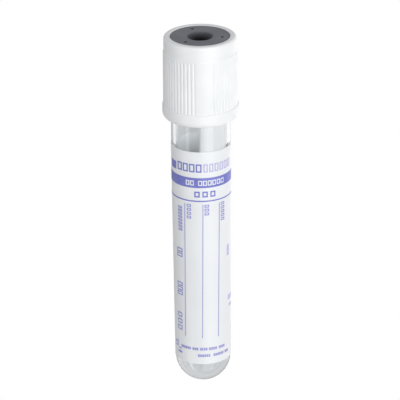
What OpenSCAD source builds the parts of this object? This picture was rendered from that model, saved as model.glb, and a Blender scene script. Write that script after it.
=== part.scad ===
// Evacuated blood collection tube, 13 x 75 mm size, with a push-in safety closure.
// Each piece is drawn with the tube upright and the tip of its round end at z = 0.
// It is then turned over, because the tube stands unheld only on the flat rim of its cap.
// Lengths are in millimetres. Angles on the label are measured from its front, in degrees.

/* [Tube] */
// Length of the tube, from the tip of its round end to its open rim
tube_length = 75; // [60:0.5:100]
// Outer diameter of the tube at its open rim
tube_rim_d = 13.04; // [12.6:0.02:16]
// Outer diameter of the tube where its round end begins
tube_end_d = 12.1; // [11.6:0.02:12.2]
// Thickness of the tube's wall
tube_wall = 1; // [0.7:0.05:1.3]
// Radius of the rounded edges of the tube's rim
tube_lip_round = 0.3; // [0.1:0.05:0.34]
// Length of the straight bore that the stopper seals in
seal_land = 10; // [9:0.5:16]

/* [Cap] */
// How far the cap's flat rim stands above the tube's rim
cap_rise = 5.75; // [5:0.05:8]
// How far the cap's skirt reaches down over the tube
skirt_length = 12.6; // [11:0.1:18]
// Gap between the skirt and the tube's rim
skirt_gap = 0.25; // [0.15:0.05:0.4]
// Thickness of the skirt at its foot, just above the collar
skirt_wall = 1.26; // [1.1:0.02:2]
// How much the cap's radius shrinks from the collar up to the smooth band
cap_draft = 0.08; // [0.02:0.02:0.2]
// How far the smooth band under the rim lies inside the ribs
band_step = 0.15; // [0.1:0.01:0.25]
// Height of the smooth band, from the ends of the ribs to the flat rim
band_height = 3.3; // [2:0.1:4.5]
// Radius of the rim's outer edge
rim_round = 0.55; // [0.2:0.05:0.8]
// Diameter of the opening that shows the stopper
opening_d = 12.94; // [10:0.02:13.2]
// Radius of the opening's edge
opening_round = 0.12; // [0.05:0.01:0.3]
// How far the collar at the cap's mouth stands proud of the ribs
collar_step = 0.21; // [0.1:0.01:0.6]
// Height of the collar
collar_height = 3.1; // [2.8:0.1:6]
// Radius of the collar's lower edge
collar_round = 1.45; // [0.6:0.05:1.5]
// Radius of the collar's upper edge
collar_top_round = 0.15; // [0.05:0.01:0.2]
// Width and height of the lead-in inside the mouth
mouth_lead = 0.35; // [0.1:0.05:0.5]

/* [Ribs on the cap] */
// Number of ribbed panels round the cap
rib_panels = 4; // [2:1:5]
// Number of grooves in each panel
grooves_per_panel = 11; // [3:1:11]
// Angle from one groove to the next
groove_pitch = 6; // [5:0.1:6]
// Radius of a groove
groove_r = 0.2; // [0.15:0.01:0.3]
// Angle of the first panel's middle from the label's front
first_panel_angle = -39.5; // [-90:0.5:90]

/* [Stopper] */
// How far the stopper's face lies below the cap's rim
stopper_recess = 0.1; // [0.05:0.05:0.8]
// Clearance between the stopper's head and the cap
head_clearance = 0.05; // [0.03:0.01:0.1]
// Radius of the head's edge
head_round = 0.15; // [0.1:0.05:0.5]
// Thickness of the flange that the cap traps on the tube's rim
flange_height = 2.9; // [2:0.1:3.2]
// How far the flange reaches outwards past the skirt's bore
flange_grip = 0.3; // [0.2:0.02:0.36]
// Clearance between the flange and the faces that trap it
seat_clearance = 0.02; // [0.01:0.01:0.04]
// Length of the plug below the flange
plug_length = 8.5; // [7:0.1:9]
// Clearance between the plug's sealing rings and the tube's bore
seal_clearance = 0.04; // [0.02:0.01:0.08]
// Number of sealing rings on the plug
seal_rings = 3; // [2:1:4]
// Radius of a sealing ring's round section
seal_ring_r = 0.6; // [0.4:0.05:0.7]
// How far a sealing ring stands proud of the plug
seal_ring_proud = 0.2; // [0.1:0.02:0.3]
// Diameter of the hollow in the plug's underside
hollow_d = 6.4; // [4:0.1:7]
// Depth of the hollow, including its round end
hollow_depth = 6; // [4.5:0.1:6.4]
// Diameter of the needle well's mouth
well_mouth_d = 5.3; // [4:0.1:6]
// Diameter of the needle well below its funnel
well_d = 3.2; // [2.4:0.1:3.8]
// Depth of the funnel at the well's mouth
funnel_depth = 1.3; // [0.8:0.1:1.6]
// Depth of the whole well
well_depth = 4; // [3:0.1:4.5]
// Number of small pits round the well
pits = 3; // [2:1:6]
// Diameter of a pit
pit_d = 0.76; // [0.4:0.02:1]
// Depth of a pit
pit_depth = 0.4; // [0.2:0.05:0.8]
// Distance of the pits from the middle
pit_circle_r = 4.8; // [4:0.1:5.4]
// Angle of the first pit from the label's front
first_pit_angle = 80; // [0:1:119]

/* [Label] */
// Height of the label's lower edge above the tube's tip
label_foot = 6.1; // [6.1:0.1:8]
// Height of the label
label_height = 50.4; // [48:0.1:51]
// Thickness of the label with its adhesive
label_thickness = 0.1; // [0.06:0.01:0.15]
// Width of the clear window between the label's two ends
window_w = 8.8; // [2:0.1:10]
// Angle of the window's middle from the label's front
window_angle = 138; // [130:1:200]
// Radius of the label's corners
label_corner = 1; // [0.3:0.1:1.5]
// Air left between layers on the tube, so that none cuts into another
layer_gap = 0.01; // [0.005:0.005:0.02]

/* [Print on the label] */
// Thickness of the ink
ink_thickness = 0.03; // [0.02:0.005:0.05]
// Height of the colour band's lower edge above the label's foot
band_level = 42.15; // [41.5:0.05:43]
// Height of the colour band
band_print_h = 2.3; // [1.5:0.1:2.6]
// Height of the bars that stand in the colour band, left unprinted
band_bar_h = 1.15; // [0.5:0.05:1.3]
// Gap between the colour band and the row of blocks above it
heading_gap = 1.3; // [0.5:0.1:1.6]
// Height of the blocks above the colour band
block_h = 2.2; // [1:0.1:2.4]
// Height of the three short bars under the colour band
caption_h = 1.4; // [0.6:0.1:1.5]
// Gap between those short bars and the ring line under them
caption_gap = 0.75; // [0.4:0.05:0.9]
// Height of the thin ring line above the label's foot
ring_level = 38.9; // [38.5:0.1:39.2]
// Width of the printed lines
line_w = 0.28; // [0.15:0.01:0.4]
// Height of the upright rules' lower ends above the label's foot
rule_foot = 6.35; // [5:0.05:10]
// Length of the upright rules
rule_length = 31.9; // [20:0.1:31.9]
// Angle of the middle rule from the label's front
rule_angle = -0.5; // [-5:0.5:5]
// Angle between two upright rules
rule_pitch = 35.5; // [30:0.5:36]
// Height of a small mark
mark_h = 0.62; // [0.4:0.02:0.8]
// Gap between two marks that stand above one another
mark_gap = 0.3; // [0.2:0.05:0.4]
// Angle of the column of marks beside the rules
side_angle = -48; // [-50:1:-46]

/* [Hidden] */
$fn = 96;
overcut = 0.5;

// Radii and levels of the tube
tube_rim_r = tube_rim_d / 2;
tube_end_r = tube_end_d / 2;
land_r = tube_rim_r - tube_wall;
land_foot = tube_length - seal_land;
end_bore_r = tube_end_r - tube_wall;

// Radii and levels of the cap
cap_top = tube_length + cap_rise;
cap_mouth = tube_length - skirt_length;
skirt_bore_r = tube_rim_r + skirt_gap;
cap_foot_r = skirt_bore_r + skirt_wall;
cap_head_r = cap_foot_r - cap_draft;
band_r = cap_head_r - band_step;
band_foot = cap_top - band_height;
collar_r = cap_foot_r + collar_step;
collar_top = cap_mouth + collar_height;
opening_r = opening_d / 2;

// Radii and levels of the stopper
face_level = cap_top - stopper_recess;
head_r = opening_r - head_clearance;
flange_foot = tube_length + seat_clearance;
flange_top = flange_foot + flange_height;
flange_r = skirt_bore_r + flange_grip;
plug_foot = tube_length - plug_length;
seal_r = land_r - seal_clearance;
plug_r = seal_r - seal_ring_proud;
hollow_r = hollow_d / 2;

// Radii and levels of the label and its print
label_top = label_foot + label_height;
label_gap = layer_gap;
ink_gap = layer_gap + label_thickness + layer_gap;
block_foot = label_foot + band_level + band_print_h + heading_gap;
caption_foot = label_foot + ring_level + line_w + caption_gap;
window_half_angle = asin((window_w / 2 + label_corner) / (tube_end_r + ink_gap));
print_from = window_angle - 360 + window_half_angle;
print_to = window_angle - window_half_angle;

// Outer radius of the tapered tube at height z
function tube_r(z) =
    tube_end_r + (tube_rim_r - tube_end_r) * (z - tube_end_r) / (tube_length - tube_end_r);

// Angle that a width takes up on the label at height z
function turn(width, z) = width / tube_r(z) * 180 / PI;

// What rounding takes off an outer corner that points to +x and +y, with its arc centred on the origin
module corner_cut(r) {
    difference() {
        square(r + overcut);
        circle(r);
    }
}

// A flat outline in (tangent, height), pushed outwards from the tube's middle at an angle from the front
module outwards(angle) {
    rotate([0, 0, angle - 90]) rotate([90, 0, 90]) linear_extrude(height = 2 * tube_rim_r) children();
}

// A thin layer that follows the tube's taper, between two heights and two angles from the front
module layer(foot, top, from_angle, to_angle, gap, thickness) {
    rotate([0, 0, from_angle - 90])
        rotate_extrude(angle = to_angle - from_angle)
            polygon([
                [tube_r(foot) + gap, foot],
                [tube_r(foot) + gap + thickness, foot],
                [tube_r(top) + gap + thickness, top],
                [tube_r(top) + gap, top]
            ]);
}

// Turns the upright tube over, to stand on the rim of its cap
module stand_on_cap() {
    translate([0, 0, cap_top]) rotate([0, 180, 0]) children();
}

// ---- Cap ----

module cap_section() {
    difference() {
        polygon([
            [skirt_bore_r + mouth_lead, cap_mouth],
            [collar_r, cap_mouth],
            [collar_r, collar_top],
            [cap_foot_r, collar_top],
            [cap_head_r, band_foot - band_step],
            [band_r, band_foot],
            [band_r, cap_top],
            [opening_r, cap_top],
            [opening_r, flange_top + seat_clearance],
            [flange_r + seat_clearance, flange_top + seat_clearance],
            [flange_r + seat_clearance, flange_foot - seat_clearance],
            [skirt_bore_r, flange_foot - seat_clearance - flange_grip],
            [skirt_bore_r, cap_mouth + mouth_lead]
        ]);
        translate([collar_r - collar_round, cap_mouth + collar_round])
            mirror([0, 1]) corner_cut(collar_round);
        translate([collar_r - collar_top_round, collar_top - collar_top_round])
            corner_cut(collar_top_round);
        translate([band_r - rim_round, cap_top - rim_round])
            corner_cut(rim_round);
        translate([opening_r + opening_round, cap_top - opening_round])
            mirror([1, 0]) corner_cut(opening_round);
    }
}

module rib_grooves() {
    for (panel = [0 : rib_panels - 1], groove = [0 : grooves_per_panel - 1])
        rotate([0, 0, first_panel_angle - 90 + panel * 360 / rib_panels
                      + (groove - (grooves_per_panel - 1) / 2) * groove_pitch])
            translate([cap_foot_r, 0, collar_top])
                cylinder(r = groove_r, h = band_foot - collar_top + band_step, $fn = 24);
}

module safety_cap() {
    color([0.93, 0.94, 0.95])
        stand_on_cap()
            difference() {
                rotate_extrude() cap_section();
                rib_grooves();
            }
}

// ---- Stopper ----

module seal_ring_section() {
    spacing = (plug_length - 2 * seal_ring_r) / seal_rings;
    for (ring = [0 : seal_rings - 1])
        translate([seal_r - seal_ring_r, plug_foot + seal_ring_r + (ring + 0.5) * spacing])
            circle(seal_ring_r);
}

module stopper_section() {
    difference() {
        union() {
            translate([0, flange_foot]) square([flange_r, flange_height]);
            translate([0, flange_foot]) square([head_r, face_level - flange_foot]);
            translate([0, plug_foot]) square([plug_r, flange_foot - plug_foot]);
            seal_ring_section();
        }
        translate([head_r - head_round, face_level - head_round]) corner_cut(head_round);
        translate([plug_r - head_round, plug_foot + head_round])
            mirror([0, 1]) corner_cut(head_round);
    }
}

module needle_well() {
    translate([0, 0, face_level - funnel_depth])
        cylinder(d1 = well_d, d2 = well_mouth_d, h = funnel_depth);
    translate([0, 0, face_level]) cylinder(d = well_mouth_d, h = overcut);
    translate([0, 0, face_level - well_depth]) cylinder(d = well_d, h = well_depth);
}

module plug_hollow() {
    translate([0, 0, plug_foot - overcut])
        cylinder(r = hollow_r, h = hollow_depth - hollow_r + overcut);
    translate([0, 0, plug_foot + hollow_depth - hollow_r]) sphere(hollow_r);
}

module face_pits() {
    for (pit = [0 : pits - 1])
        rotate([0, 0, first_pit_angle - 90 + pit * 360 / pits])
            translate([pit_circle_r, 0, face_level - pit_depth])
                cylinder(d = pit_d, h = pit_depth + overcut, $fn = 24);
}

module stopper() {
    color([0.40, 0.41, 0.44])
        stand_on_cap()
            difference() {
                rotate_extrude() stopper_section();
                needle_well();
                plug_hollow();
                face_pits();
            }
}

// ---- Tube ----

module tube_lip_cuts() {
    translate([tube_rim_r - tube_lip_round, tube_length - tube_lip_round])
        corner_cut(tube_lip_round);
    translate([land_r + tube_lip_round, tube_length - tube_lip_round])
        mirror([1, 0]) corner_cut(tube_lip_round);
}

module tube() {
    color([0.80, 0.84, 0.88, 0.35])
        stand_on_cap()
            difference() {
                union() {
                    translate([0, 0, tube_end_r])
                        cylinder(r1 = tube_end_r, r2 = tube_rim_r, h = tube_length - tube_end_r);
                    translate([0, 0, tube_end_r]) sphere(tube_end_r);
                }
                translate([0, 0, tube_end_r]) sphere(end_bore_r);
                translate([0, 0, tube_end_r])
                    cylinder(r1 = end_bore_r, r2 = land_r, h = land_foot - tube_end_r);
                translate([0, 0, land_foot]) cylinder(r = land_r, h = seal_land + overcut);
                rotate_extrude() tube_lip_cuts();
            }
}

// ---- Label ----

module window_outline() {
    translate([-window_w / 2, label_foot - overcut]) square([window_w, label_height + 2 * overcut]);
    for (side = [0, 1], end = [0, 1])
        mirror([side, 0])
            translate([window_w / 2 + label_corner, end == 0 ? label_foot + label_corner : label_top - label_corner])
                mirror([1, 0]) mirror([0, 1 - end]) corner_cut(label_corner);
}

module label() {
    color([0.95, 0.95, 0.96])
        stand_on_cap()
            rotate([0, 0, window_angle]) difference() {
                rotate_extrude()
                    polygon([
                        [tube_r(label_foot) + label_gap, label_foot],
                        [tube_r(label_foot) + label_gap + label_thickness, label_foot],
                        [tube_r(label_top) + label_gap + label_thickness, label_top],
                        [tube_r(label_top) + label_gap, label_top]
                    ]);
                outwards(0) window_outline();
            }
}

// ---- Print on the label ----

// A patch of ink between two heights and two angles
module ink(foot, top, from_angle, to_angle) {
    layer(foot, top, from_angle, to_angle, ink_gap, ink_thickness);
}

// A row of bars at one height, each given as [first angle, last angle]
module ink_row(foot, height, spans) {
    for (span = spans) ink(foot, foot + height, span[0], span[1]);
}

// The colour band: bars across its middle, each given as [angle, width], are left unprinted
module colour_band() {
    foot = label_foot + band_level;
    difference() {
        ink(foot, foot + band_print_h, print_from, print_to);
        for (bar = [[-28, 0.8], [-18, 0.9], [-2, 1], [7, 0.75], [15, 0.7], [23, 0.8], [34.5, 0.9], [44, 1]])
            outwards(bar[0])
                translate([0, foot + band_print_h / 2]) square([bar[1], band_bar_h], center = true);
    }
}

// Plain blocks above the colour band, and the three short bars below it
module heading_blocks() {
    ink_row(block_foot, block_h, [[-76, -56], [-51, -40], [-37.5, -26.5], [-24, -13], [-10.5, 0.5]]);
    ink_row(block_foot, block_h, [[4, 12.5], [15, 23.5], [26, 34.5], [37, 45.5], [48, 56.5], [59, 67.5]]);
    ink_row(caption_foot, caption_h, [[-14, -4], [3, 15], [19.5, 27]]);
}

// One thin line round the label, with three upright rules standing below it
module ruled_lines() {
    ring_foot = label_foot + ring_level;
    ink(ring_foot, ring_foot + line_w, print_from, print_to);
    foot = label_foot + rule_foot;
    for (rule = [-1 : 1]) {
        middle = rule_angle + rule * rule_pitch;
        half_turn = turn(line_w, foot) / 2;
        ink(foot, foot + rule_length, middle - half_turn, middle + half_turn);
    }
}

// A column of small marks to the right of each rule's head, given as their number
module rule_headings() {
    head = label_foot + rule_foot + rule_length;
    for (rule = [-1 : 1])
        for (mark = [0 : [3, 2, 4][rule + 1]]) {
            start = rule_angle + rule * rule_pitch + turn(0.6, head);
            top = head - mark * (mark_h + mark_gap);
            ink(top - mark_h, top, start, start + turn(mark == 0 ? 1.1 : 0.8, head));
        }
}

// Small plain marks to the left of the rules, each given as [foot, top] above the label's foot
module side_marks() {
    half_turn = turn(1.2, label_foot) / 2;
    for (mark = [[36.4, 37.2], [35.2, 36.1], [34.1, 34.9], [32.9, 33.8], [31.4, 32.6],
                 [26.6, 27.3], [25.2, 25.9], [18.6, 19.0], [16.1, 17.7],
                 [11.0, 11.6], [9.1, 10.0], [7.1, 8.3]])
        ink(label_foot + mark[0], label_foot + mark[1], side_angle - half_turn, side_angle + half_turn);
}

// Two rows of marks near the label's foot
module foot_rows() {
    ink_row(label_foot + 3.4, mark_h, [[-71, -59], [-50, -25], [-22, -9], [-6, 9.5], [12, 30], [34, 50]]);
    ink_row(label_foot + 3.4 - 2 * mark_h - mark_gap, mark_h, [[-62, -48], [-10.5, 15.5], [21.5, 62]]);
}

module label_print() {
    color([0.40, 0.37, 0.68])
        stand_on_cap() {
            colour_band();
            heading_blocks();
            ruled_lines();
            rule_headings();
            side_marks();
            foot_rows();
        }
}

safety_cap();
stopper();
tube();
label();
label_print();
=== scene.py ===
"""A blood collection tube with its safety closure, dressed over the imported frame.

The tube stands on the flat rim of its cap, so heights grow from that rim (0) to the tip of
the tube's round end. Sizes in the classes are in millimetres, and angles are in degrees,
measured round the tube from the front of its label.
"""

import logging
import math
from dataclasses import dataclass
from enum import Enum
from typing import Callable, Sequence

import bpy
import numpy as np
from mathutils import Matrix, Vector

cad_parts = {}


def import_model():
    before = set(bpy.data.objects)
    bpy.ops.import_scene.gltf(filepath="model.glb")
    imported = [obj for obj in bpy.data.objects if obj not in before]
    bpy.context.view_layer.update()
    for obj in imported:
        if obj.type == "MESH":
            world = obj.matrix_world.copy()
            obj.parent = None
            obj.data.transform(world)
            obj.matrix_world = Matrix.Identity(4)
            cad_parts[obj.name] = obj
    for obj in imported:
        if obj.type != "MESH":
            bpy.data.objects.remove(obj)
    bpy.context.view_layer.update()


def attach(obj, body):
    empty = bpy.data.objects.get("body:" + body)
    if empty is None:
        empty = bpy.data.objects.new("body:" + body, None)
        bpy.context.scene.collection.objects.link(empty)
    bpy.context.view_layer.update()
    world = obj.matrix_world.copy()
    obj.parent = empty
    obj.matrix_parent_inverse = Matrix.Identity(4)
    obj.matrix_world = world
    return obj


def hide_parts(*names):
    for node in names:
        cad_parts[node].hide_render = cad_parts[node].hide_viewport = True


LOG = logging.getLogger("collection_tube")
MM = 0.001
FULL_TURN = 360.0
# the angle from the front at which sections are drawn
WIRE_ANGLE = -90.0
WELD_DISTANCE = 1e-7
ROW_TOLERANCE = 0.01 * MM
# how far round a millimetre reaches on the label
DEGREES_PER_MM = 9.0

Point = tuple[float, float]
Span = tuple[float, float]
Colour = tuple[float, float, float]
Piece = bpy.types.Object
Material = bpy.types.Material
NodeTree = bpy.types.NodeTree
Node = bpy.types.Node
Socket = bpy.types.NodeSocket
Sockets = bpy.types.bpy_prop_collection


class Body(Enum):
    """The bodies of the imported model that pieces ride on."""

    CLOSURE = "closure"
    TUBE = "labelled_tube"


class Slot(Enum):
    """The record's material slots."""

    CAP = "cap_plastic"
    STOPPER = "stopper_rubber"
    TUBE = "tube_plastic"
    LABEL = "label_film"
    INK = "label_ink"


class Element(Enum):
    """What can be chosen in a mesh, in the order of Blender's selection modes."""

    POINTS = "vertices"
    EDGES = "edges"
    FACES = "polygons"


# ---------------- modelling helpers


def arc(centre: Point, radius: float, start: float, end: float, steps: int) -> list[Point]:
    """Points along a round stretch of a section.

    Args:
        centre: The arc's centre as (radius from the tube's axis, height).
        radius: The arc's radius.
        start: The first point's angle, 0 pointing outwards and 90 towards the tube's tip.
        end: The last point's angle.
        steps: The number of straight steps that make the arc.

    Returns:
        The arc's points, both ends included.
    """
    angles = [math.radians(start + (end - start) * i / steps) for i in range(steps + 1)]
    return [(centre[0] + radius * math.cos(a), centre[1] + radius * math.sin(a)) for a in angles]


def select_none() -> None:
    """Go back to object mode, with nothing selected."""
    if bpy.context.object and bpy.context.object.mode != "OBJECT":
        bpy.ops.object.mode_set(mode="OBJECT")
    bpy.ops.object.select_all(action="DESELECT")


def select_only(piece: Piece) -> None:
    """Leave the piece alone selected and active, in object mode."""
    select_none()
    piece.select_set(True)
    bpy.context.view_layer.objects.active = piece


def add_new(operator: Callable, **settings: object) -> Piece:
    """Run one of Blender's adding operators with nothing else selected, and return what it added."""
    select_none()
    operator(**settings)
    return bpy.context.object


def edit_chosen(piece: Piece, element: Element, mask: np.ndarray) -> None:
    """Enter edit mode with only some of the piece's points or faces selected.

    Args:
        piece: The mesh object to edit.
        element: What the mask chooses from.
        mask: Which of them to select.
    """
    select_only(piece)
    for kind in Element:
        members = getattr(piece.data, kind.value)
        members.foreach_set("select", mask if kind is element else np.zeros(len(members), bool))
    bpy.context.tool_settings.mesh_select_mode = [kind is element for kind in Element]
    bpy.ops.object.mode_set(mode="EDIT")


def pick_points(piece: Piece, chosen: Callable[[np.ndarray], np.ndarray]) -> int:
    """Enter edit mode with only the chosen points selected.

    Args:
        piece: The mesh object to edit.
        chosen: Takes the points' places as an (n, 3) array and returns a mask.

    Returns:
        How many points were chosen.
    """
    select_only(piece)
    places = np.zeros(len(piece.data.vertices) * 3)
    piece.data.vertices.foreach_get("co", places)
    mask = chosen(places.reshape(-1, 3))
    edit_chosen(piece, Element.POINTS, mask)
    return int(mask.sum())


def on_row(places: np.ndarray, height: float) -> np.ndarray:
    """A mask of the places that lie at a height, given in millimetres."""
    return np.abs(places[:, 2] - height * MM) < ROW_TOLERANCE


def draw_wire(name: str, points: Sequence[Point]) -> Piece:
    """Draw a section as a chain of edges, by extruding one point along it.

    Args:
        name: The new object's name.
        points: The section's points as (radius, height), in millimetres.

    Returns:
        The object, left in edit mode with only its last point selected.
    """
    wire = add_new(bpy.ops.mesh.primitive_plane_add, size=MM)
    wire.name = wire.data.name = name
    bpy.ops.object.mode_set(mode="EDIT")
    bpy.ops.mesh.select_mode(type="VERT")
    bpy.ops.mesh.merge(type="CENTER")
    first = points[0]
    bpy.ops.transform.translate(value=(first[0] * MM, 0, first[1] * MM))
    for here, there in zip(points, points[1:]):
        step = ((there[0] - here[0]) * MM, 0, (there[1] - here[1]) * MM)
        bpy.ops.mesh.extrude_region_move(TRANSFORM_OT_translate={"value": step})
    return wire


def angle_from_front(places: np.ndarray) -> np.ndarray:
    """Each point's angle round the tube from the label's front, between -180 and 180 degrees."""
    return np.degrees(np.arctan2(-places[:, 0], -places[:, 1]))


def turn_round_axis(angle: float) -> None:
    """Turn what is selected round the tube's axis."""
    bpy.ops.transform.rotate(value=math.radians(angle), orient_axis="Z", center_override=(0, 0, 0))


def edit_all(piece: Piece) -> None:
    """Enter edit mode with the whole piece selected."""
    select_only(piece)
    bpy.ops.object.mode_set(mode="EDIT")
    bpy.ops.mesh.select_all(action="SELECT")


def close_seams(piece: Piece) -> None:
    """Merge the points that meet, and turn the faces outwards.

    Args:
        piece: The mesh object to close.
    """
    edit_all(piece)
    bpy.ops.mesh.remove_doubles(threshold=WELD_DISTANCE)
    bpy.ops.mesh.normals_make_consistent(inside=False)
    bpy.ops.object.mode_set(mode="OBJECT")


def sweep(
    name: str, points: Sequence[Point], column: float, start: float = WIRE_ANGLE, wrap: float = FULL_TURN
) -> Piece:
    """Sweep a line round the tube's axis.

    Args:
        name: The piece's name.
        points: The line as (radius, height), in millimetres.
        column: The angle that one face covers.
        start: The surface's first angle from the front.
        wrap: The angle that the surface covers.

    Returns:
        The surface with its faces pointing outwards, in object mode.
    """
    piece = draw_wire(name, points)
    last = start + wrap
    bpy.ops.mesh.select_all(action="SELECT")
    turn_round_axis(last - WIRE_ANGLE)
    steps = round(wrap / column)
    turns = {"angle": math.radians(wrap), "steps": steps, "render_steps": steps}
    apply_modifier(piece, "SCREW", use_smooth_shade=False, **turns)
    close_seams(piece)
    return piece


def apply_modifier(piece: Piece, kind: str, **settings: object) -> None:
    """Add a modifier with these settings and apply it at once.

    Args:
        piece: The mesh object that takes it.
        kind: The modifier's type name.
        settings: The modifier's own properties.
    """
    select_only(piece)
    modifier = piece.modifiers.new(kind.title(), kind)
    for key, value in settings.items():
        setattr(modifier, key, value)
    bpy.ops.object.modifier_apply(modifier=modifier.name)


def dress(piece: Piece, material: Material) -> None:
    """Give the piece this material alone."""
    piece.data.materials.clear()
    piece.data.materials.append(material)


def install(
    piece: Piece, material: Material, body: Body, slot: Slot, *nodes: str, crease: float = 40.0
) -> None:
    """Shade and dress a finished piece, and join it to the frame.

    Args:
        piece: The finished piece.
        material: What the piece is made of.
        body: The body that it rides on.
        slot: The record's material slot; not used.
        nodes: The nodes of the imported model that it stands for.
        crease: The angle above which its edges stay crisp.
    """
    select_only(piece)
    bpy.ops.object.shade_smooth_by_angle(angle=math.radians(crease))
    dress(piece, material)
    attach(piece, body.value)
    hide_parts(*nodes)
    LOG.info("%s: %d faces, rides on %s", piece.name, len(piece.data.polygons), body.value)


# ---------------- finishes


class Graph:
    """A short way to write a shader's nodes."""

    def __init__(self, tree: NodeTree) -> None:
        """Start on a node tree."""
        self.tree = tree

    def add(self, kind: str, inputs: dict | None = None, **settings: object) -> Node:
        """Add a node.

        Args:
            kind: The node's type name.
            inputs: Input name or index to a value, or to an output socket to link.
            settings: The node's own properties.

        Returns:
            The new node.
        """
        node = self.tree.nodes.new(kind)
        for key, value in settings.items():
            setattr(node, key, value)
        for key, value in (inputs or {}).items():
            if isinstance(value, Socket):
                self.tree.links.new(value, node.inputs[key])
            else:
                node.inputs[key].default_value = value
        return node

    def calc(self, operation: str, *values: object, clamp: bool = False) -> Socket:
        """The result of an operation on numbers or sockets."""
        node = self.add("ShaderNodeMath", dict(enumerate(values)), operation=operation, use_clamp=clamp)
        return node.outputs[0]

    def remap(
        self, value: object, source: Span, target: Sequence[object] = (0.0, 1.0), eased: bool = False
    ) -> Socket:
        """Carry a value from one range to another.

        Args:
            value: The value, a number or a socket.
            source: The range's two ends before.
            target: The two ends after, numbers or sockets.
            eased: Whether the change starts and ends softly.

        Returns:
            The value in the new range, held between its ends.
        """
        ends = {"From Min": source[0], "From Max": source[1], "To Min": target[0], "To Max": target[1]}
        kind = "SMOOTHSTEP" if eased else "LINEAR"
        node = self.add("ShaderNodeMapRange", {"Value": value, **ends}, interpolation_type=kind)
        return node.outputs["Result"]

    def place(self) -> Socket:
        """The shaded point's place on the object."""
        return self.add("ShaderNodeTexCoord").outputs["Object"]

    def noise(self, place: object, scale: object, detail: float, roughness: float) -> Socket:
        """The height of a soft noise at a place."""
        inputs = {"Vector": place, "Scale": scale, "Detail": detail, "Roughness": roughness}
        return self.add("ShaderNodeTexNoise", inputs).outputs["Fac"]

    def bump(self, height: Socket, depth: float) -> Socket:
        """A surface direction that follows a height, whose depth is given in millimetres."""
        inputs = {"Height": height, "Distance": depth * MM, "Strength": 1.0}
        return self.add("ShaderNodeBump", inputs).outputs["Normal"]

    def mix_colours(self, share: object, first: object, second: object) -> Socket:
        """Two colours mixed, with this share of the second."""
        inputs = {"Factor": share, "A": first, "B": second}
        return self.add("ShaderNodeMix", inputs, data_type="RGBA").outputs[2]

    def mix_shaders(self, share: object, first: Node, second: Node) -> Node:
        """Two shaders mixed, with this share of the second."""
        return self.add("ShaderNodeMixShader", {0: share, 1: first.outputs[0], 2: second.outputs[0]})


def new_material(name: str) -> tuple[Material, Graph]:
    """A material with an empty tree, and its graph.

    Args:
        name: The material's name.

    Returns:
        The material and the graph.
    """
    material = bpy.data.materials.new(name)
    material.use_nodes = True
    material.node_tree.nodes.clear()
    return material, Graph(material.node_tree)


class SharedEffects:
    """Node groups that more than one finish uses, each built once."""

    CLOUD_EDGES = (0.3, 0.7)

    def __init__(self) -> None:
        """Build the groups."""
        self.grain = self._build_grain()
        self.cloud = self._build_cloud()

    @staticmethod
    def _new_group(name: str, inputs: dict[str, object], outputs: Sequence[str]) -> tuple[Graph, Sockets]:
        """A group with its sockets.

        Args:
            name: The group's name.
            inputs: Input name to its default, a number or a colour.
            outputs: The outputs' names.

        Returns:
            The group's graph, and what is given to it as output sockets.
        """
        group = bpy.data.node_groups.new(name, "ShaderNodeTree")
        for key, value in inputs.items():
            kind = "NodeSocketColor" if isinstance(value, tuple) else "NodeSocketFloat"
            socket = group.interface.new_socket(key, in_out="INPUT", socket_type=kind)
            socket.default_value = value
        for key in outputs:
            kind = "NodeSocketColor" if key == "Color" else "NodeSocketFloat"
            group.interface.new_socket(key, in_out="OUTPUT", socket_type=kind)
        graph = Graph(group)
        return graph, graph.add("NodeGroupInput").outputs

    def _build_grain(self) -> NodeTree:
        """Fine surface grain: a height for bumps, and a roughness that follows it.

        Returns:
            The node group.
        """
        inputs = {"Grains Per Metre": 4000.0, "Roughness": 0.4, "Roughness Spread": 0.1}
        graph, given = self._new_group("surface_grain", inputs, ("Height", "Roughness"))
        spread = given["Roughness Spread"]
        height = graph.noise(graph.place(), given["Grains Per Metre"], detail=3.0, roughness=0.6)
        low = graph.calc("ADD", given["Roughness"], graph.calc("MULTIPLY", spread, -0.5))
        rough = graph.calc("MULTIPLY_ADD", height, spread, low)
        graph.add("NodeGroupOutput", {"Height": height, "Roughness": rough})
        return graph.tree

    def _build_cloud(self) -> NodeTree:
        """Slow, soft change between two colours over a surface, as in a moulding or a film.

        Returns:
            The node group.
        """
        inputs = {"Light": (0.9, 0.9, 0.9, 1.0), "Dark": (0.8, 0.8, 0.8, 1.0), "Clouds Per Metre": 150.0}
        graph, given = self._new_group("soft_cloud", inputs, ("Color",))
        cloud = graph.noise(graph.place(), given["Clouds Per Metre"], detail=2.0, roughness=0.5)
        share = graph.remap(cloud, self.CLOUD_EDGES, eased=True)
        graph.add("NodeGroupOutput", {"Color": graph.mix_colours(share, given["Light"], given["Dark"])})
        return graph.tree


def opaque(colour: Colour) -> tuple[float, float, float, float]:
    """A colour with full alpha."""
    return (*colour, 1.0)


@dataclass(frozen=True)
class PaintedWellShade:
    """Painted shade: how a face's colour darkens between two heights down its well, and faster down its
    shallow pits, in place of real shade.
    """

    reach: float = 5.4
    floor: float = 5.0
    pits_from: float = 4.0
    pit_haste: float = 2.0
    start: float = 0.14
    end: float = 1.3
    # the colour that the painted shade reaches at its end
    painted_shade_colour: Colour = (0.006, 0.006, 0.008)
    roughening: float = 0.4


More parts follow.
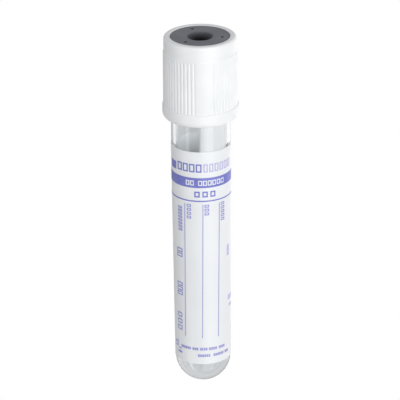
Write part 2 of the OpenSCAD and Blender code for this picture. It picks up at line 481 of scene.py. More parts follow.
@dataclass(frozen=True)
class SolidFinish:
    """An opaque moulded or printed surface with a fine grain, a slow change of colour and, if given, painted
    shade down a well.
    """

    name: str
    light: Colour
    dark: Colour
    roughness: float
    roughness_spread: float
    grains_per_metre: float
    grain_depth: float
    clouds_per_metre: float = 150.0
    glow_depth: float = 0.01
    glow_share: float = 0.0
    glow_spread: Colour = (1.0, 0.95, 0.9)
    sheen: float = 0.0
    specular: float = 0.5
    # painted shade down a well and its pits, if given
    well: PaintedWellShade | None = None

    def build(self, effects: SharedEffects) -> Material:
        """Build the material.

        Args:
            effects: The shared node groups.

        Returns:
            The material.
        """
        material, graph = new_material(self.name)
        clouds = {
            "Light": opaque(self.light),
            "Dark": opaque(self.dark),
            "Clouds Per Metre": self.clouds_per_metre,
        }
        grains = {
            "Grains Per Metre": self.grains_per_metre,
            "Roughness": self.roughness,
            "Roughness Spread": self.roughness_spread,
        }
        colour = graph.add("ShaderNodeGroup", clouds, node_tree=effects.cloud).outputs["Color"]
        grain = graph.add("ShaderNodeGroup", grains, node_tree=effects.grain).outputs
        roughness = grain["Roughness"]
        # paint shade into the colour down the well and the pits
        if self.well:
            colour, roughness = self.paint_well_shade(graph, colour, roughness)
        surface = graph.add(
            "ShaderNodeBsdfPrincipled",
            {
                "Base Color": colour,
                "Roughness": roughness,
                "Normal": graph.bump(grain["Height"], self.grain_depth),
                "Sheen Weight": self.sheen,
                "Specular IOR Level": self.specular,
                "Subsurface Weight": self.glow_share,
                "Subsurface Scale": self.glow_depth * MM,
                "Subsurface Radius": self.glow_spread,
            },
        )
        graph.add("ShaderNodeOutputMaterial", {"Surface": surface.outputs[0]})
        return material

    def paint_well_shade(self, graph: Graph, colour: Socket, roughness: Socket) -> tuple[Socket, Socket]:
        """Paint shade into the colour down the well and the pits, and roughen the surface there.

        Args:
            graph: The material's graph.
            colour: The colour outside the well.
            roughness: The roughness outside the well.

        Returns:
            The colour and the roughness, as output sockets.
        """
        well = self.well
        place = graph.add("ShaderNodeSeparateXYZ", {0: graph.place()}).outputs
        flat = graph.add("ShaderNodeCombineXYZ", {"X": place["X"], "Y": place["Y"]}).outputs[0]
        from_axis = graph.add("ShaderNodeVectorMath", {0: flat}, operation="LENGTH").outputs["Value"]
        above_floor = graph.calc("LESS_THAN", place["Z"], well.floor * MM)
        near = graph.calc("MULTIPLY", graph.calc("LESS_THAN", from_axis, well.reach * MM), above_floor)
        in_pit = graph.calc("GREATER_THAN", from_axis, well.pits_from * MM)
        pace = graph.calc("MULTIPLY_ADD", in_pit, well.pit_haste, near)
        depth = graph.calc("SQRT", graph.remap(place["Z"], (well.start * MM, well.end * MM)))
        # painted shade: the deeper the point, the closer its colour goes to a near-black colour
        shade = graph.calc("MULTIPLY", depth, graph.calc("MULTIPLY", pace, near), clamp=True)
        rougher = graph.calc("MULTIPLY_ADD", shade, well.roughening, roughness, clamp=True)
        return graph.mix_colours(shade, colour, opaque(well.painted_shade_colour)), rougher


@dataclass(frozen=True)
class ClearFinish:
    """Clear plastic that bends light, and lets lamps and soft light through to what is behind it."""

    name: str
    tint: Colour
    shadow_tint: Colour
    ior: float
    roughness: float
    ripple_depth: float
    ripples_per_metre: float = 260.0
    ripple_stretch: float = 0.08

    def build(self) -> Material:
        """Build the material.

        Returns:
            The material.
        """
        material, graph = new_material(self.name)
        scale = (1.0, 1.0, self.ripple_stretch)
        stretched = graph.add("ShaderNodeMapping", {"Vector": graph.place(), "Scale": scale}).outputs[0]
        ripple = graph.noise(stretched, self.ripples_per_metre, detail=1.0, roughness=0.5)
        body = graph.add(
            "ShaderNodeBsdfPrincipled",
            {
                "Base Color": opaque(self.tint),
                "Roughness": self.roughness,
                "IOR": self.ior,
                "Transmission Weight": 1.0,
                "Normal": graph.bump(ripple, self.ripple_depth),
            },
        )
        clear = graph.add("ShaderNodeBsdfTransparent", {"Color": opaque(self.shadow_tint)})
        in_shadow = graph.add("ShaderNodeLightPath").outputs["Is Shadow Ray"]
        surface = graph.mix_shaders(in_shadow, body, clear)
        graph.add("ShaderNodeOutputMaterial", {"Surface": surface.outputs[0]})
        return material


class Finishes:
    """The object's materials."""

    def __init__(self) -> None:
        """Build every material once."""
        effects = SharedEffects()
        self.cap = SolidFinish(
            "white_cap_plastic", (0.90, 0.905, 0.91), (0.86, 0.87, 0.88),
            roughness=0.42, roughness_spread=0.12, grains_per_metre=5200.0, grain_depth=0.012,
            glow_depth=0.6, glow_share=0.15,
        ).build(effects)
        # the stopper's well and pits get painted shade
        self.stopper = SolidFinish(
            "grey_stopper_rubber", (0.165, 0.170, 0.190), (0.135, 0.140, 0.160),
            roughness=0.62, roughness_spread=0.15, grains_per_metre=7000.0, grain_depth=0.02,
            sheen=0.1, specular=0.35, well=PaintedWellShade(),
        ).build(effects)
        self.label = SolidFinish(
            "white_label_film", (0.868, 0.878, 0.888), (0.838, 0.848, 0.863),
            roughness=0.45, roughness_spread=0.1, grains_per_metre=2600.0, grain_depth=0.003,
            clouds_per_metre=90.0, glow_depth=0.2, glow_share=0.3,
        ).build(effects)
        inks = (
            ("violet_ink", (0.20, 0.21, 0.60), (0.165, 0.175, 0.53)),
            ("worn_violet_ink", (0.34, 0.345, 0.70), (0.29, 0.295, 0.64)),
            ("lilac_ink", (0.58, 0.56, 0.80), (0.52, 0.50, 0.76)),
        )
        self.violet_ink, self.worn_ink, self.lilac_ink = (
            SolidFinish(
                name, light, dark,
                roughness=0.42, roughness_spread=0.1, grains_per_metre=9000.0, grain_depth=0.002,
                clouds_per_metre=1200.0,
            ).build(effects)
            for name, light, dark in inks
        )
        self.tube = ClearFinish(
            "clear_tube_plastic", (0.88, 0.89, 0.895), (0.96, 0.97, 0.975),
            ior=1.5, roughness=0.015, ripple_depth=0.003,
        ).build()


# ---------------- the object's pieces


@dataclass
class SafetyCap:
    """The white shield: a ribbed skirt between a smooth band and a collar, and a seat for the stopper.

    Rows are heights of further points on straight stretches. The lead's curve is in shares of its size.
    """

    height: float = 18.35
    opening_r: float = 6.47
    opening_round: float = 0.12
    band_r: float = 7.80
    rim_round: float = 0.55
    band_rows: tuple[float, ...] = (1.6, 2.9, 3.2)
    band_end: float = 3.30
    rib_step: float = 0.02
    rib_start: float = 3.45
    rib_top_r: float = 7.95
    rib_foot_r: float = 8.03
    rib_end: float = 15.15
    collar_start: float = 15.25
    collar_r: float = 8.24
    collar_edge: float = 0.15
    collar_row: float = 16.5
    collar_round: float = 1.45
    skirt_bore_r: float = 6.77
    bore_row: float = 12.0
    mouth_lead: float = 0.35
    lead_curve: tuple[Point, ...] = ((0.45, 0.18), (0.12, 0.6), (0.0, 1.1))
    seat_r: float = 7.09
    seat_start: float = 2.81
    seat_end: float = 5.75
    seat_slope: float = 0.3
    panels: int = 4
    grooves: int = 11
    groove_pitch: float = 6.0
    first_panel: float = -39.5
    groove_half_width: float = 2.0
    groove_depth: float = 0.13
    run_in: float = 0.07
    skin: float = 0.05
    column: float = 0.5

    def section(self) -> list[Point]:
        """The cap's cut face, from the opening's edge round the outside to the seat and back.

        Returns:
            The cut face's points as (radius, height).
        """
        ribs = [(self.rib_radius(share), height) for share, height in self.rib_rows()]
        edge, bend, lead = self.collar_edge, self.collar_round, self.mouth_lead
        return [
            (self.opening_r, self.seat_start),
            *arc((self.opening_r + self.opening_round, self.opening_round), self.opening_round, 180, 270, 4),
            *arc((self.band_r - self.rim_round, self.rim_round), self.rim_round, 270, 360, 10),
            *[(self.band_r, height) for height in self.band_rows],
            (self.band_r + self.rib_step, self.band_end),
            *ribs,
            (self.rib_foot_r + self.rib_step, self.collar_start - self.rib_step),
            *arc((self.collar_r - edge, self.collar_start + edge), edge, 270, 360, 5),
            (self.collar_r, self.collar_row),
            *arc((self.collar_r - bend, self.height - bend), bend, 0, 90, 14),
            *[(self.skirt_bore_r + lead * out, self.height - lead * deep) for out, deep in self.lead_curve],
            (self.skirt_bore_r, self.bore_row),
            (self.skirt_bore_r, self.seat_end + self.seat_slope),
            (self.seat_r, self.seat_end),
            (self.seat_r, self.seat_start),
        ]

    def rib_rows(self) -> list[tuple[float, float]]:
        """Rows down the ribs, as (share of the way to the collar, height), close together at both ends."""
        length = self.rib_end - self.rib_start
        shares = [0.0, 0.006, 0.014, 0.024, 0.038, 0.055, 0.08, 0.3, 0.55, 0.8, 0.93, 0.965, 0.985, 1.0]
        return [(share, self.rib_start + share * length) for share in shares]

    def rib_radius(self, share: float) -> float:
        """The ribs' outer radius at a share of the way from the smooth band to the collar."""
        return self.rib_top_r + (self.rib_foot_r - self.rib_top_r) * share

    def angle_from_groove(self, places: np.ndarray) -> np.ndarray:
        """The angle between each point and the middle of the nearest groove.

        Args:
            places: The points' places as an (n, 3) array.

        Returns:
            The angles, none of them below zero.
        """
        panel_pitch = FULL_TURN / self.panels
        reach = (self.grooves - 1) / 2 * self.groove_pitch
        from_middle = angle_from_front(places) - self.first_panel
        in_panel = (from_middle + panel_pitch / 2) % panel_pitch - panel_pitch / 2
        nearest = np.clip(np.round((in_panel + reach) / self.groove_pitch), 0, self.grooves - 1)
        return np.abs(in_panel + reach - nearest * self.groove_pitch)

    def cut_grooves(self, piece: Piece) -> None:
        """Draw the grooves between the ribs into the skirt, each starting in a rounded slope.

        Args:
            piece: The turned panel.
        """
        for share, height in self.rib_rows():
            ending = math.sin(min(share / self.run_in, 1.0) * math.pi / 2)
            if ending <= 0:
                continue
            radius = self.rib_radius(share)
            for step in range(int(self.groove_half_width / self.column)):
                turned = step * self.column
                shape = 0.5 + 0.5 * math.cos(math.pi * turned / self.groove_half_width)

                def on_line(places: np.ndarray) -> np.ndarray:
                    """The points of this row that are this far round from a groove's middle."""
                    outside = np.hypot(places[:, 0], places[:, 1]) > (radius - self.skin) * MM
                    in_column = np.abs(self.angle_from_groove(places) - turned) < self.column / 4
                    return outside & in_column & on_row(places, height)

                if pick_points(piece, on_line):
                    ratio = 1 - self.groove_depth * shape * ending / radius
                    bpy.ops.transform.resize(value=(ratio, ratio, 1), center_override=(0, 0, 0))
        bpy.ops.object.mode_set(mode="OBJECT")

    def copy_panels(self, piece: Piece) -> None:
        """Copy the finished panel round the axis, until the cap is closed.

        Args:
            piece: The panel, with its grooves.
        """
        edit_all(piece)
        for _ in range(self.panels - 1):
            bpy.ops.mesh.duplicate()
            turn_round_axis(FULL_TURN / self.panels)
        close_seams(piece)

    def build(self, finishes: Finishes) -> None:
        """Model, dress and install the cap.

        Args:
            finishes: The object's materials.
        """
        panel = FULL_TURN / self.panels
        outline = self.section()
        first = self.first_panel - panel / 2
        piece = sweep("cap_moulding", [*outline, outline[0]], self.column, first, panel)
        self.cut_grooves(piece)
        self.copy_panels(piece)
        install(piece, finishes.cap, Body.CLOSURE, Slot.CAP, "safety_cap", crease=50)


@dataclass
class Stopper:
    """The rubber stopper: a face with a needle well and pits, a flange, and a hollow plug with rings.

    The points of a curve are given as (further out, further down the well) from its corner.
    """

    face: float = 0.1
    head_r: float = 6.42
    head_round: float = 0.15
    flange_start: float = 2.83
    flange_end: float = 5.73
    flange_r: float = 7.07
    plug_end: float = 14.25
    plug_r: float = 5.28
    ring_r: float = 0.6
    rings: int = 3
    seal_r: float = 5.48
    hollow_r: float = 3.2
    hollow_depth: float = 6.0
    mouth_r: float = 2.65
    mouth_curve: tuple[Point, ...] = (
        (-0.16, 0.55), (-0.02, 0.36), (0.08, 0.2), (0.2, 0.09), (0.34, 0.02), (0.5, 0.0),
    )
    well_r: float = 1.6
    well_depth: float = 4.0
    well_round: float = 0.3
    funnel_depth: float = 1.3
    funnel_curve: tuple[Point, ...] = ((0.0, 0.35), (0.04, 0.1), (0.16, -0.14))
    face_row_r: float = 3.6
    pits: int = 3
    first_pit: float = 80.0
    pit_circle_r: float = 4.8
    pit_r: float = 0.38
    pit_depth: float = 0.4
    columns: int = 240

    def ring_bulge(self, middle: float) -> list[Point]:
        """The part of a sealing ring's round section that stands out of the plug."""
        centre = self.seal_r - self.ring_r
        reach = math.degrees(math.acos((self.plug_r - centre) / self.ring_r))
        return arc((centre, middle), self.ring_r, -reach, reach, 10)

    def section(self) -> list[Point]:
        """The stopper's cut face, from the well's floor round the outside to the hollow's crown.

        Returns:
            The cut face's points as (radius, height).
        """
        bend, edge = self.well_round, self.head_round
        well_floor = self.face + self.well_depth
        funnel_end = self.face + self.funnel_depth
        pitch = (self.plug_end - self.flange_end - self.ring_r * 2) / self.rings
        middles = [self.flange_end + self.ring_r + (ring + 0.5) * pitch for ring in range(self.rings)]
        hollow_centre = self.plug_end - self.hollow_depth + self.hollow_r
        return [
            (0.0, well_floor),
            (self.well_r - bend, well_floor),
            *arc((self.well_r - bend, well_floor - bend), bend, 90, 0, 5),
            *[(self.well_r + out, funnel_end + deeper) for out, deeper in self.funnel_curve],
            *[(self.mouth_r + out, self.face + deeper) for out, deeper in self.mouth_curve],
            (self.face_row_r, self.face),
            *arc((self.head_r - edge, self.face + edge), edge, 270, 360, 8),
            (self.head_r, self.flange_start),
            (self.flange_r, self.flange_start),
            (self.flange_r, self.flange_end),
            (self.plug_r, self.flange_end),
            *[point for middle in middles for point in self.ring_bulge(middle)],
            *arc((self.plug_r - edge, self.plug_end - edge), edge, 0, 90, 6),
            (self.hollow_r, self.plug_end),
            *arc((0.0, hollow_centre), self.hollow_r, 0, -90, 16)[:-1],
            (0.0, hollow_centre - self.hollow_r),
        ]

    def press_pits(self, piece: Piece) -> None:
        """Press the small pits with round floors into the face.

        Args:
            piece: The turned stopper.
        """
        for pit in range(self.pits):
            turned = math.radians(self.first_pit + pit * FULL_TURN / self.pits)
            floor_centre = self.face + self.pit_depth - self.pit_r
            across, along = -math.sin(turned) * self.pit_circle_r, -math.cos(turned) * self.pit_circle_r
            radius = self.pit_r * MM
            punch = add_new(bpy.ops.mesh.primitive_uv_sphere_add, segments=28, ring_count=16, radius=radius)
            pick_points(punch, lambda places: places[:, 2] < -ROW_TOLERANCE)
            bpy.ops.transform.translate(value=(0, 0, -2 * self.pit_depth * MM))
            bpy.ops.mesh.select_all(action="SELECT")
            bpy.ops.transform.translate(value=Vector((across, along, floor_centre)) * MM)
            apply_modifier(piece, "BOOLEAN", object=punch, operation="DIFFERENCE", solver="EXACT")
            bpy.data.objects.remove(punch)

    def build(self, finishes: Finishes) -> None:
        """Model, dress and install the stopper.

        Args:
            finishes: The object's materials.
        """
        piece = sweep("stopper_moulding", self.section(), FULL_TURN / self.columns)
        self.press_pits(piece)
        install(piece, finishes.stopper, Body.CLOSURE, Slot.STOPPER, "stopper", crease=50)


@dataclass
class Barrel:
    """The clear tube: a slight taper, a round end and a straight bore where the stopper seals."""

    rim: float = 5.75
    tip: float = 80.75
    rim_r: float = 6.52
    end_r: float = 6.05
    wall: float = 1.0
    lip_round: float = 0.3
    land: float = 10.0
    rows: tuple[float, ...] = (60.0, 40.0, 20.0)
    bore_shares: tuple[float, ...] = (0.25, 0.5, 0.75)
    columns: int = 256

    def radius_at(self, height: float) -> float:
        """The taper's outer radius at a height."""
        share = (self.tip - self.end_r - height) / (self.tip - self.end_r - self.rim)
        return self.end_r + (self.rim_r - self.end_r) * share

    def section(self) -> list[Point]:
        """The tube's cut face, from the outside of the tip to the rim and back to the inside of the tip.

        Returns:
            The cut face's points as (radius, height).
        """
        centre = self.tip - self.end_r
        bore_r = self.end_r - self.wall
        land_r = self.rim_r - self.wall
        land_end = self.rim + self.land
        rim_centre = self.rim + self.lip_round
        return [
            (0.0, self.tip),
            *arc((0.0, centre), self.end_r, 90, 0, 36)[1:],
            *[(self.radius_at(height), height) for height in self.rows],
            *arc((self.rim_r - self.lip_round, rim_centre), self.lip_round, 0, -90, 6),
            *arc((land_r + self.lip_round, rim_centre), self.lip_round, 270, 180, 6),
            (land_r, self.rim + self.land * 0.5),
            (land_r, land_end),
            *[
                (land_r + (bore_r - land_r) * share, land_end + (centre - land_end) * share)
                for share in self.bore_shares
            ],
            *arc((0.0, centre), bore_r, 0, 90, 32)[:-1],
            (0.0, centre + bore_r),
        ]

    def build(self, finishes: Finishes) -> None:
        """Model, dress and install the tube.

        Args:
            finishes: The object's materials.
        """
        piece = sweep("tube_barrel", self.section(), FULL_TURN / self.columns)
        install(piece, finishes.tube, Body.TUBE, Slot.TUBE, "tube", crease=60)


@dataclass
class Label:
    """The label wrapped round the tube, with a clear window between its two ends."""

    barrel: Barrel
    start: float = 24.25
    end: float = 74.65
    gap: float = 0.01
    thickness: float = 0.1
    window_w: float = 8.8
    window_angle: float = 138.0
    corner: float = 1.0
    edge_row: float = 2.0
    column: float = 0.5

    def __post_init__(self) -> None:
        """Work out where the label begins and ends."""
        middle_r = self.barrel.radius_at((self.start + self.end) / 2)
        half_window = math.degrees(math.asin(self.window_w / 2 / middle_r))
        columns = round((FULL_TURN - 2 * half_window) / self.column)
        self.wrap = columns * self.column
        self.first_angle = self.window_angle - FULL_TURN + (FULL_TURN - self.wrap) / 2

    def angle_from_ends(self, places: np.ndarray) -> np.ndarray:
        """The angle between each point and the nearer end of the wrap.

        Args:
            places: The points' places as an (n, 3) array.

        Returns:
            The angles, none of them below zero.
        """
        from_first = (angle_from_front(places) - self.first_angle) % FULL_TURN
        return np.min([from_first, np.abs(from_first - self.wrap), np.abs(from_first - FULL_TURN)], axis=0)

    def round_corners(self, piece: Piece) -> None:
        """Draw the ends of the outermost columns inwards, along the arcs of the corners.

        Args:
            piece: The unrounded sheet.
        """
        step = math.radians(self.column) * self.barrel.end_r
        for index in range(int(self.corner / step) + 1):
            inward = self.corner - index * step
            cut = self.corner - math.sqrt(max(self.corner**2 - inward**2, 0.0))
            for height, direction in ((self.start, 1), (self.end, -1)):

                def at_end(places: np.ndarray) -> np.ndarray:
                    """The points of this column, at both ends of the wrap, on this edge of the label."""
                    in_column = np.abs(self.angle_from_ends(places) - index * self.column) < self.column / 4
                    return in_column & on_row(places, height)

                if pick_points(piece, at_end):
                    bpy.ops.transform.translate(value=(0, 0, direction * cut * MM))
        bpy.ops.object.mode_set(mode="OBJECT")

    def build(self, finishes: Finishes) -> None:
        """Model, dress and install the sheet.

        Args:
            finishes: The object's materials.
        """
        middle = (self.start + self.end) / 2
        heights = [self.start, self.start + self.edge_row, middle, self.end - self.edge_row, self.end]
        line = [(self.barrel.radius_at(height) + self.gap, height) for height in heights]
        piece = sweep("wrapped_label", line, self.column, self.first_angle, self.wrap)
        self.round_corners(piece)
        apply_modifier(piece, "SOLIDIFY", thickness=self.thickness * MM, offset=1.0)
        install(piece, finishes.label, Body.TUBE, Slot.LABEL, "label")


@dataclass(frozen=True)
class Mark:
    """A printed patch between two angles from the front and two heights."""

    first: float
    last: float
    top: float
    foot: float

    def covers(self, angles: np.ndarray, heights: np.ndarray) -> np.ndarray:
        """A mask of the places that lie on this mark."""
        return (angles > self.first) & (angles < self.last) & (heights > self.top) & (heights < self.foot)


def frames(
    first: float, top: float, width: float, height: float, stroke: float, count: int = 1, turn: float = 0.0,
    rise: float = 0.0,
) -> list[Mark]:
    """Equal frames, each made of four strokes round an empty middle and moved on from the one before.

    Args:
        first: The first frame's first angle.
        top: The height of the first frame's edge nearer to the cap.
        width: The angle that one frame covers.
        height: The height of one frame.
        stroke: The strokes' width in millimetres.
        count: The number of frames.
        turn: The angle from one frame to the next.
        rise: The distance from one frame to the next.

    Returns:
        All the strokes as marks.
    """
    turned = stroke * DEGREES_PER_MM
    strokes = []
    for index in range(count):
        left, start = first + index * turn, top + index * rise
        right, end = left + width, start + height
        strokes += [
            Mark(left, right, start, start + stroke),
            Mark(left, right, end - stroke, end),
            Mark(left, left + turned, start, end),
            Mark(right - turned, right, start, end),
        ]
    return strokes


@dataclass
class LabelPrint:
    """The print on the label: a colour band and ruled lines, with frames and bars where words would stand."""

    barrel: Barrel
    label: Label
    column: float = 0.5
    gap: float = 0.12
    thickness: float = 0.03
    band: Span = (30.2, 32.5)
    ring_line: Span = (35.47, 35.75)
    rule_angles: tuple[float, ...] = (-36.2, 0.6, 34.6)
    rules: Span = (36.4, 68.3)
    rule_half_width: float = 0.8
    rule_lean: float = -3.4
    word_columns: tuple[tuple[float, int], ...] = ((-30.0, 4), (5.5, 3), (39.8, 5))
    letter_pitch: float = 4.0
    letter_gap: float = 1.0

    def ends(self) -> Span:
        """The first and last angle of what is printed right round the label."""
        inset = math.degrees(self.label.corner / self.barrel.end_r)
        return self.label.first_angle + inset, self.label.first_angle + self.label.wrap - inset

    def heading(self) -> list[Mark]:
        """The violet half of the row above the band: a block and four frames."""
        return [Mark(-76, -56, 27.3, 29.1), *frames(-51, 27.0, 11, 1.9, 0.3, count=4, turn=13.5)]

    def pale_heading(self) -> list[Mark]:
        """The lilac half of the row above the band, and the faint marks at the label's right."""
        faint = [Mark(58, 66, 47.2, 49.8), Mark(62, 80, 59.4, 60.6), Mark(66, 80, 61.6, 62.3)]
        return frames(4, 27.0, 8.5, 1.9, 0.27, count=6, turn=11) + faint

    def band_gaps(self) -> list[Mark]:
        """The two groups of small frames left unprinted in the band."""
        groups = ((-31.5, 2), (-6.5, 6))
        rows = (frames(first, 30.8, 8, 1.2, 0.25, count, turn=9.2) for first, count in groups)
        return [mark for row in rows for mark in row]

    def caption(self) -> list[Mark]:
        """The three frames under the band."""
        return frames(-14, 33.35, 10.5, 1.35, 0.3, count=3, turn=15.5)

    def upright_rules(self) -> list[Mark]:
        """The three upright rules."""
        half = self.rule_half_width
        return [Mark(angle - half, angle + half, *self.rules) for angle in self.rule_angles]

    def column_words(self) -> list[Mark]:
        """Small frames, one above the other, beside the head of each rule."""
        top = self.rules[0] + 0.05
        columns = (frames(first, top, 9.0, 0.67, 0.2, count, rise=0.91) for first, count in self.word_columns)
        return [mark for column in columns for mark in column]

    def side_words(self) -> list[Mark]:
        """The small frames and bars in the column to the left of the rules.

        Returns:
            All the strokes and bars as marks.
        """
        return [
            *frames(-52, 37.4, 10.5, 0.55, 0.2, count=8, rise=0.75),
            *frames(-58, 47.4, 16, 0.95, 0.24, count=2, rise=1.15),
            *frames(-59, 55.6, 16, 0.9, 0.22, count=3, rise=1.1),
            *frames(-60, 63.0, 14, 1.1, 0.24, count=3, rise=1.55),
            *frames(-70, 70.2, 10, 1.3, 0.24),
            Mark(-61, -48, 72.4, 72.85),
            Mark(-58, -50, 71.6, 71.85),
        ]

    def foot_words(self) -> list[Mark]:
        """Two rows of small frames near the label's foot.

        Returns:
            All the strokes as marks.
        """
        marks = []
        height, stroke = 0.62, 0.17
        upper = ((-50, -25), (-22, -9), (-6, 9.5), (12, 30), (34, 50))
        lower = ((-10.5, 15.5), (21.5, 47), (50, 62))
        for top, words in ((70.7, upper), (72.3, lower)):
            for first, last in words:
                letters = round((last - first) / self.letter_pitch)
                pitch = (last - first) / letters
                marks += frames(first, top, pitch - self.letter_gap, height, stroke, letters, turn=pitch)
        return marks

    def stencil(
        self, name: str, marks: Sequence[Mark], gaps: Sequence[Mark] = (), lean: float = 0.0
    ) -> Piece:
        """Cut the ink's patches out of a sheet that follows the label.

        Args:
            name: The piece's name.
            marks: Where there is ink.
            gaps: What is left unprinted inside those marks.
            lean: How far round the sheet's last row lies from its first.

        Returns:
            The ink as one mesh of thin closed patches.
        """
        heights = sorted({round(edge, 3) for mark in (*marks, *gaps) for edge in (mark.top, mark.foot)})
        line = [(self.barrel.radius_at(height) + self.gap, height) for height in heights]
        piece = sweep(name, line, self.column, start=-FULL_TURN / 2)
        centres = np.array([face.center for face in piece.data.polygons])
        angles, levels = angle_from_front(centres), centres[:, 2] / MM
        inked = np.zeros(len(centres), bool)
        for turn in (0.0, -FULL_TURN):
            for mark in marks:
                inked |= mark.covers(angles + turn, levels)
        for mark in gaps:
            inked &= ~mark.covers(angles, levels)
        edit_chosen(piece, Element.FACES, ~inked)
        bpy.ops.mesh.delete(type="FACE")
        for height in heights if lean else ():
            pick_points(piece, lambda places: on_row(places, height))
            share = (height - heights[0]) / (heights[-1] - heights[0])
            turn_round_axis(lean * (share - 0.5))
        apply_modifier(piece, "SOLIDIFY", thickness=self.thickness * MM, offset=1.0)
        return piece

    def build(self, finishes: Finishes) -> None:
        """Model, dress and install the inks.

        Args:
            finishes: The object's materials.
        """
        bands = [Mark(*self.ends(), *self.band), Mark(*self.ends(), *self.ring_line)]
        violet = [*bands, *self.heading(), *self.caption()]
        worn = [*self.column_words(), *self.side_words(), *self.foot_words()]
        pieces = (
            (self.stencil("violet_print", violet, self.band_gaps()), finishes.violet_ink),
            (self.stencil("worn_print", worn), finishes.worn_ink),
            (self.stencil("lilac_print", self.pale_heading()), finishes.lilac_ink),
            (self.stencil("ruled_lines", self.upright_rules(), lean=self.rule_lean), finishes.worn_ink),
        )
        for piece, finish in pieces:
            install(piece, finish, Body.TUBE, Slot.INK, "label_print")


# ---------------- studio


@dataclass(frozen=True)
class SoftBox:
    """A tall soft light that shows in reflections, between two angles round the object from its front."""

    first: float
    last: float
    strength: float
    edge: float = 3.0


@dataclass(frozen=True)
class Lamp:
    """A soft square lamp that faces the middle of the object, placed and sized in metres."""

    name: str
    place: tuple[float, float, float]
    size: float
    power: float

    def add(self, aim: Vector) -> None:
        """Add the lamp, turned towards a point.

        Args:
            aim: The point, in metres.
        """
        lamp = add_new(bpy.ops.object.light_add, type="AREA", location=self.place)
        lamp.name = lamp.data.name = self.name
        lamp.data.size = self.size
        lamp.data.energy = self.power
        lamp.visible_transmission = False
        lamp.rotation_mode = "QUATERNION"
        lamp.rotation_quaternion = (aim - Vector(self.place)).to_track_quat("-Z", "Y")


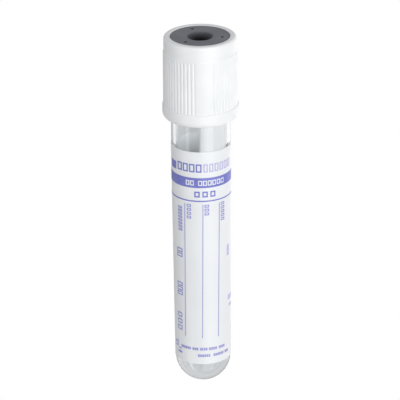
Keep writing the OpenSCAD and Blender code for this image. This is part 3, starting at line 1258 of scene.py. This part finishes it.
@dataclass
class Studio:
    """Camera, lamps, white backdrop and floor.

    The surroundings change over ranges of the ray's direction, given as its share along an axis.
    The floor's size and what the camera clips are in metres.
    """

    aim_height: float = 38.0
    aim_side: float = 0.35
    distance: float = 650.0
    elevation: float = -23.0
    roll: float = -0.6
    lens: float = 269.1
    clip: Span = (0.01, 50.0)
    ambient: float = 0.6
    soft_white: Colour = (0.97, 0.985, 1.0)
    lit_side: float = 0.8
    dim_side: float = 0.3
    dim_from: Span = (-0.3, 0.6)
    backdrop: float = 1.07
    dim_half: float = 0.645
    dim_half_from: Span = (-0.035, 0.02)
    far_side: float = 1.0
    far_side_from: Span = (0.2, 0.5)
    table: float = 0.73
    table_from: Span = (0.42, 0.55)
    box_ends: Span = (0.75, 0.95)
    soft_boxes: tuple[SoftBox, ...] = (SoftBox(-134, -118, 0.6), SoftBox(-59, -48, 2.6), SoftBox(0, 48, 1.9))
    lamps: tuple[Lamp, ...] = (
        Lamp("key_lamp", (-0.235, -0.44, -0.07), size=0.3, power=1.25),
        Lamp("back_lamp", (-0.3, 0.42, 0.1), size=0.4, power=0.6),
    )
    high_tilt: tuple[float, float, float] = (-14.0, -15.0, 0.0)
    high_spread: float = 26.0
    high_strength: float = 1.15
    floor_gap: float = 0.2
    floor_size: float = 6.0
    floor_sides: int = 96
    floor_pale: Colour = (0.9, 0.9, 0.9)
    floor_lift: float = 0.17

    def set_camera(self) -> None:
        """Look from below the cap's rim, with the tube's round end at the bottom of the picture."""
        rise = math.radians(self.elevation)
        aim = Vector((self.aim_side, 0, self.aim_height)) * MM
        back = Vector((0, -math.cos(rise), math.sin(rise)))
        camera = add_new(bpy.ops.object.camera_add, location=aim + back * self.distance * MM)
        forward, down = -back, Vector((0, 0, -1))
        up = (down - forward * forward.dot(down)).normalized()
        turned = Matrix((forward.cross(up), up, back)).transposed().to_4x4()
        rolled = Matrix.Rotation(math.radians(self.roll), 4, "Z")
        camera.matrix_world = Matrix.Translation(camera.location) @ turned @ rolled
        camera.data.lens = self.lens
        camera.data.clip_start, camera.data.clip_end = self.clip
        bpy.context.scene.camera = camera

    def add_high_light(self) -> None:
        """Add an even light from high up, which lays the object's soft shadow on the floor."""
        tilt = [math.radians(angle) for angle in self.high_tilt]
        light = add_new(bpy.ops.object.light_add, type="SUN", rotation=tilt)
        light.name = light.data.name = "high_light"
        light.data.energy = self.high_strength
        light.data.angle = math.radians(self.high_spread)
        light.visible_transmission = False
        light.visible_glossy = False

    def mirrored_room(self, graph: Graph, place: Sockets) -> Socket:
        """The room in the object's reflections: brighter towards the camera, with tall soft boxes round it.

        Args:
            graph: The world's graph.
            place: The parts of the ray's direction, as output sockets.

        Returns:
            The room's strength, as an output socket.
        """
        strength = graph.remap(place["Y"], self.dim_from, (self.lit_side, self.dim_side), eased=True)
        steepness = graph.calc("ABSOLUTE", place["Z"])
        level = graph.remap(steepness, self.box_ends, (1.0, 0.0), eased=True)
        across, along = (graph.calc("MULTIPLY", place[axis], -1.0) for axis in "XY")
        turned = graph.calc("ARCTAN2", across, along)
        for box in self.soft_boxes:
            first, last, edge = (math.radians(angle) for angle in (box.first, box.last, box.edge))
            after_first = graph.remap(turned, (first - edge, first))
            before_last = graph.remap(turned, (last + edge, last))
            mask = graph.calc("MULTIPLY", after_first, before_last)
            strength = graph.calc("MULTIPLY_ADD", graph.calc("MULTIPLY", mask, level), box.strength, strength)
        return strength

    def set_world(self) -> None:
        """White behind the object, an even soft light, and a studio with a dim side in its reflections."""
        world = bpy.data.worlds.new("white_studio")
        world.use_nodes = True
        world.node_tree.nodes.clear()
        graph = Graph(world.node_tree)
        rays = graph.add("ShaderNodeLightPath").outputs
        direction = graph.add("ShaderNodeTexCoord").outputs["Generated"]
        place = graph.add("ShaderNodeSeparateXYZ", {0: direction}).outputs
        halves = graph.remap(place["X"], self.dim_half_from, (self.backdrop, self.dim_half), eased=True)
        sides = graph.remap(place["X"], self.far_side_from, (halves, self.far_side), eased=True)
        backdrop = graph.remap(place["Z"], self.table_from, (sides, self.table), eased=True)
        soft, white = opaque(self.soft_white), (1.0, 1.0, 1.0, 1.0)
        seen_as = (
            ("Is Glossy Ray", soft, self.mirrored_room(graph, place)),
            ("Is Transmission Ray", soft, backdrop),
            ("Is Camera Ray", white, 1.0),
        )
        mix = graph.add("ShaderNodeBackground", {"Color": soft, "Strength": self.ambient})
        for ray, colour, strength in seen_as:
            sky = graph.add("ShaderNodeBackground", {"Color": colour, "Strength": strength})
            mix = graph.mix_shaders(rays[ray], mix, sky)
        graph.add("ShaderNodeOutputWorld", {"Surface": mix.outputs[0]})
        bpy.context.scene.world = world

    def add_floor(self) -> None:
        """A pale floor that keeps the object's shadow, and that can't be seen from below."""
        size = {"vertices": self.floor_sides, "radius": self.floor_size / 2}
        place = (0, 0, -self.floor_gap * MM)
        floor = add_new(bpy.ops.mesh.primitive_circle_add, fill_type="NGON", location=place, **size)
        floor.name = "pale_floor"
        bpy.ops.object.transform_apply(location=True, rotation=True, scale=True)
        material, graph = new_material("pale_floor")
        rays = graph.add("ShaderNodeLightPath").outputs
        seen = graph.calc("MAXIMUM", rays["Is Camera Ray"], rays["Is Transmission Ray"])
        pale = graph.add("ShaderNodeBsdfDiffuse", {"Color": opaque(self.floor_pale)})
        lift = graph.add("ShaderNodeEmission", {"Color": (1, 1, 1, 1), "Strength": self.floor_lift})
        nothing = graph.add("ShaderNodeEmission", {"Strength": 0.0})
        lifted = graph.mix_shaders(seen, nothing, lift)
        shown = graph.add("ShaderNodeAddShader", {0: pale.outputs[0], 1: lifted.outputs[0]})
        clear = graph.add("ShaderNodeBsdfTransparent")
        from_below = graph.add("ShaderNodeNewGeometry").outputs["Backfacing"]
        surface = graph.mix_shaders(from_below, shown, clear)
        graph.add("ShaderNodeOutputMaterial", {"Surface": surface.outputs[0]})
        dress(floor, material)
        floor.visible_diffuse = False
        floor.visible_glossy = False
        floor.visible_shadow = False

    def build(self) -> None:
        """Set up the camera, the light and the floor."""
        bpy.context.scene.view_settings.view_transform = "Standard"
        self.set_camera()
        self.set_world()
        for lamp in self.lamps:
            lamp.add(Vector((0, 0, self.aim_height)) * MM)
        self.add_high_light()
        self.add_floor()


def main() -> None:
    """Load the frame, build the pieces in order and set up the studio."""
    logging.basicConfig(level=logging.INFO, format="%(name)s: %(message)s")
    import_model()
    finishes = Finishes()
    barrel = Barrel()
    SafetyCap().build(finishes)
    Stopper().build(finishes)
    barrel.build(finishes)
    label = Label(barrel)
    label.build(finishes)
    LabelPrint(barrel, label).build(finishes)
    Studio().build()


if __name__ == "__main__":
    main()
